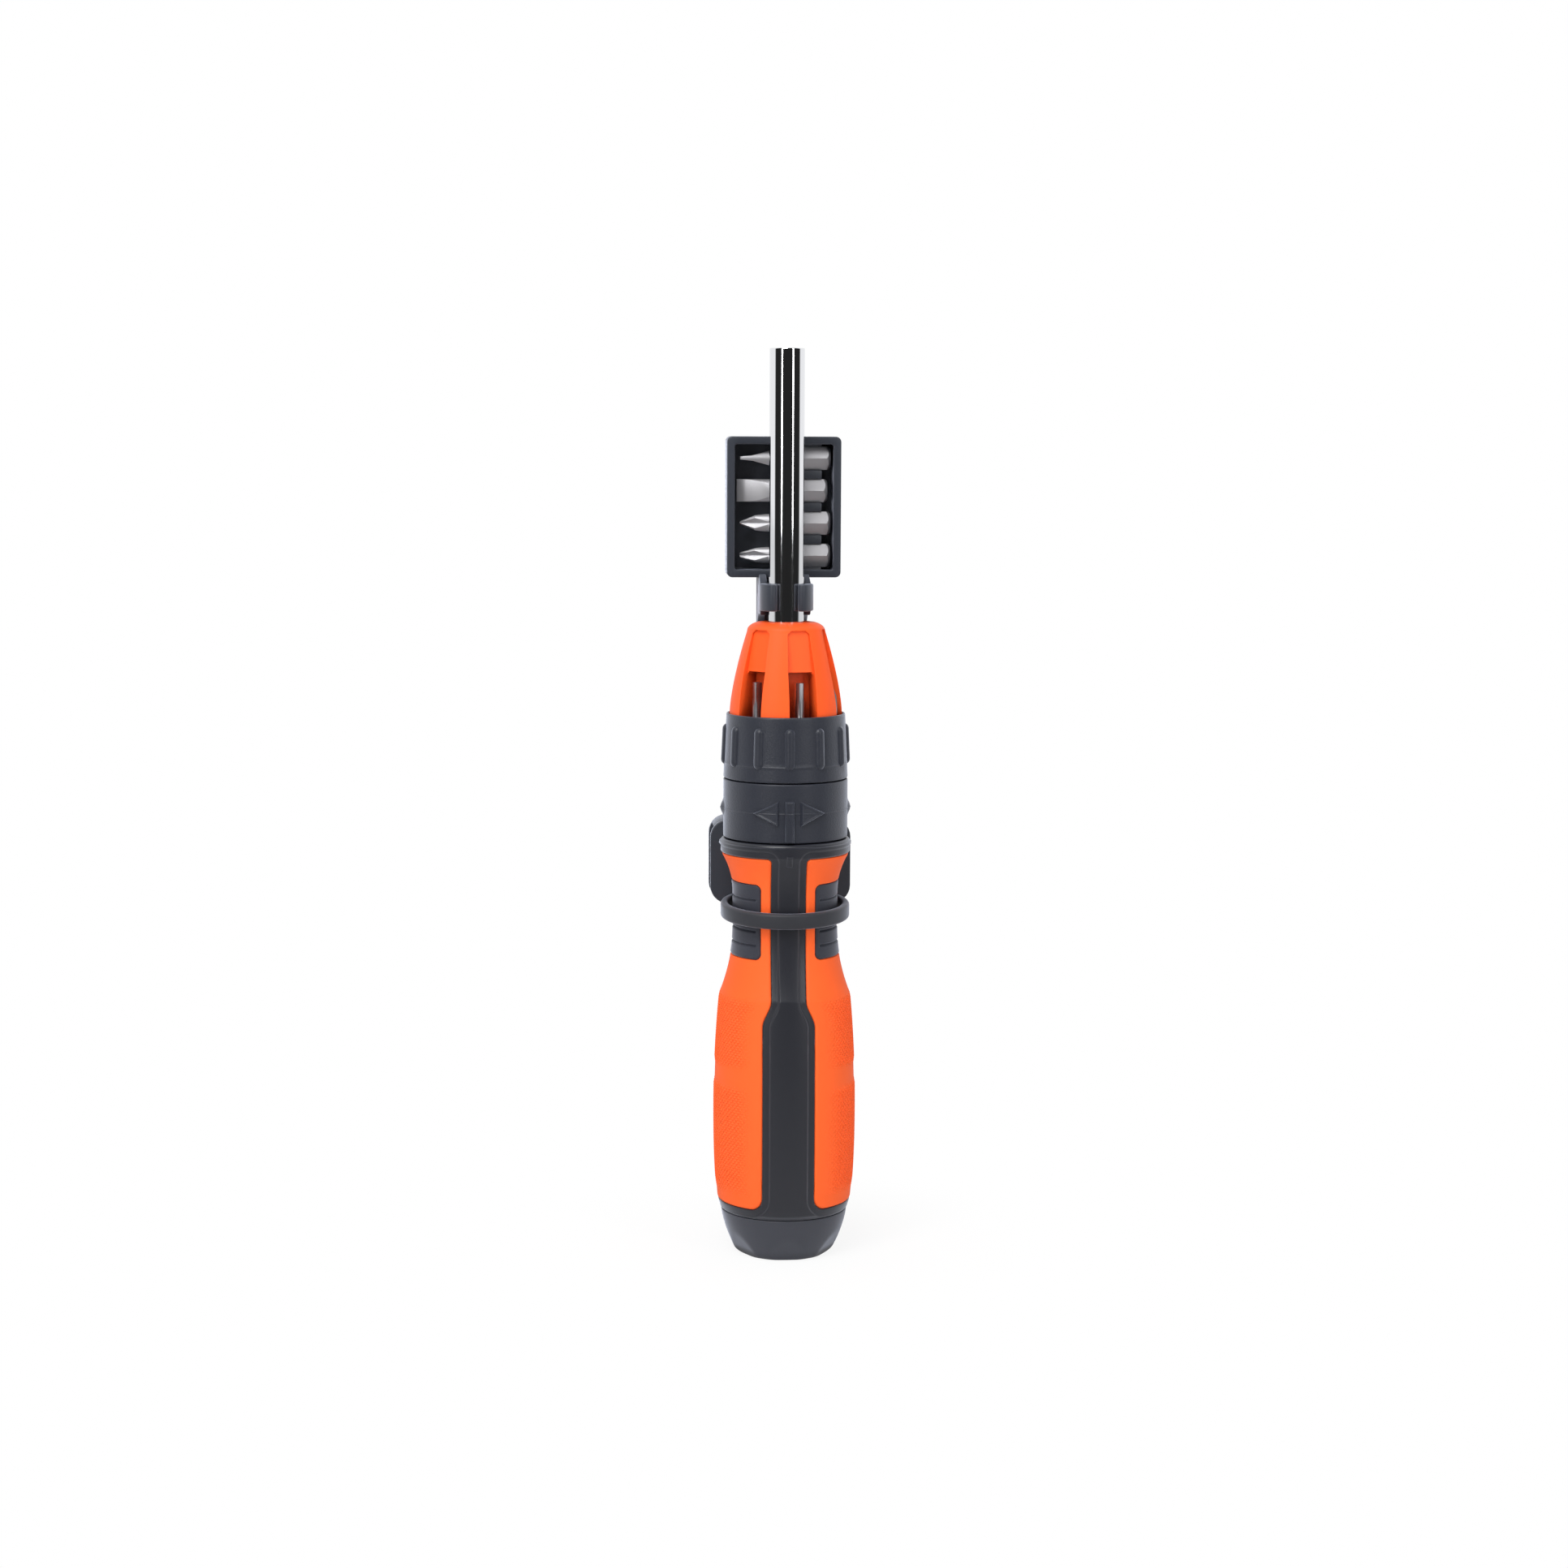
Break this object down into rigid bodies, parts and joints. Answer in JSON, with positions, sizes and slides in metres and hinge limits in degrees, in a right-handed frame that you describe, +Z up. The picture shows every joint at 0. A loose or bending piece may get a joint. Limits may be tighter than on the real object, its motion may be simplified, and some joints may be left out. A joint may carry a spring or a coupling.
{
  "type": "ratcheting screwdriver",
  "caption": "Ratcheting screwdriver with a direction ring, spare bits round its nose, a screw end cap, and a clip-on bit holder with belt clip behind it.",
  "frame": {"origin": "middle of the end cap's flat foot, on the tool's axis", "axes": "+Z up along the shaft, -Y towards the front stripe, +Y towards the bit holder, +X to the right seen from the front"},
  "size_m": [0.0396, 0.0506, 0.25],
  "materials": {
    "black_plastic": "satin moulded",
    "orange_grip": "soft, knurled",
    "soft_black": "soft, grooved",
    "cast_metal": "die cast",
    "fasteners": "zinc plated",
    "bronze": "sintered",
    "spring_steel": "tempered",
    "hard_steel": "hardened",
    "shaft_chrome": "polished",
    "orange_plastic": "satin moulded",
    "bit_steel": "matt grey",
    "holder_plastic": "satin moulded",
    "rubber": "matt"
  },
  "bodies": {
    "handle": {"handle_core": "black_plastic", "grip_left": "orange_grip", "grip_right": "orange_grip", "neck_pad_left": "soft_black", "neck_pad_right": "soft_black", "ratchet_housing": "cast_metal", "housing_screws": "fasteners", "spindle_bush": "bronze", "thrust_washer": "bronze", "pawl_pins": "fasteners", "pawl_spring": "spring_steel", "detent_spring": "spring_steel", "pawl_cover": "cast_metal", "cover_screws": "fasteners"},
    "selector": {"selector_ring": "black_plastic"},
    "pawl_left": {"pawl_left": "hard_steel"},
    "pawl_right": {"pawl_right": "hard_steel"},
    "spindle": {"shaft": "shaft_chrome", "shaft_circlip": "fasteners", "ratchet_gear": "hard_steel", "bit_collar": "black_plastic", "nose_cone": "orange_plastic", "socket_magnet": "hard_steel", "socket_ring": "spring_steel", "nose_bit_key": "bit_steel", "nose_bit_cross": "bit_steel", "nose_bit_square": "bit_steel", "nose_bit_star": "bit_steel", "nose_bit_slot": "bit_steel", "nose_bit_slot_small": "bit_steel"},
    "holder": {"bit_holder": "holder_plastic", "belt_clip": "holder_plastic", "neck_loop": "rubber", "tray_bit_slot_edge": "bit_steel", "tray_bit_slot_flat": "bit_steel", "tray_bit_cross_upper": "bit_steel", "tray_bit_cross_lower": "bit_steel"},
    "gasket": {"cap_gasket": "rubber"},
    "cap": {"end_cap": "black_plastic"}
  },
  "joints": [
    {"name": "spindle_turn", "type": "hinge", "parent": "handle", "child": "spindle", "pos_m": [0, 0, 0.12], "axis": [0, 0, 1], "continuous": true},
    {"name": "selector_turn", "type": "hinge", "parent": "handle", "child": "selector", "pos_m": [0, 0, 0.125], "axis": [0, 0, 1], "range_deg": [-20, 20], "deforming": ["pawl_spring", "detent_spring"]},
    {"name": "pawl_left_turn", "type": "hinge", "parent": "handle", "child": "pawl_left", "pos_m": [-0.01011, 0.00482, 0.1227], "axis": [0, 0, 1], "range_deg": [-5.01, 5.01]},
    {"name": "pawl_right_turn", "type": "hinge", "parent": "handle", "child": "pawl_right", "pos_m": [0.01011, 0.00482, 0.1227], "axis": [0, 0, 1], "range_deg": [-5.01, 5.01]},
    {"name": "holder_turn", "type": "hinge", "parent": "handle", "child": "holder", "pos_m": [0, 0, 0.18], "axis": [0, 0, 1], "continuous": true},
    {"name": "cap_twist", "type": "hinge", "parent": "handle", "child": "gasket", "pos_m": [0, 0, 0.0125], "axis": [0, 0, -1], "range_deg": [0, 720]},
    {"name": "cap_travel", "type": "slide", "parent": "gasket", "child": "cap", "axis": [0, 0, -1], "range_m": [0, 0.00801]}
  ],
  "couplings": [
    {"joint": "pawl_left_turn", "follows": "selector_turn", "ratio": 0.25},
    {"joint": "pawl_right_turn", "follows": "selector_turn", "ratio": 0.25},
    {"joint": "cap_travel", "follows": "cap_twist", "m_per_rad": 0.0006366}
  ]
}
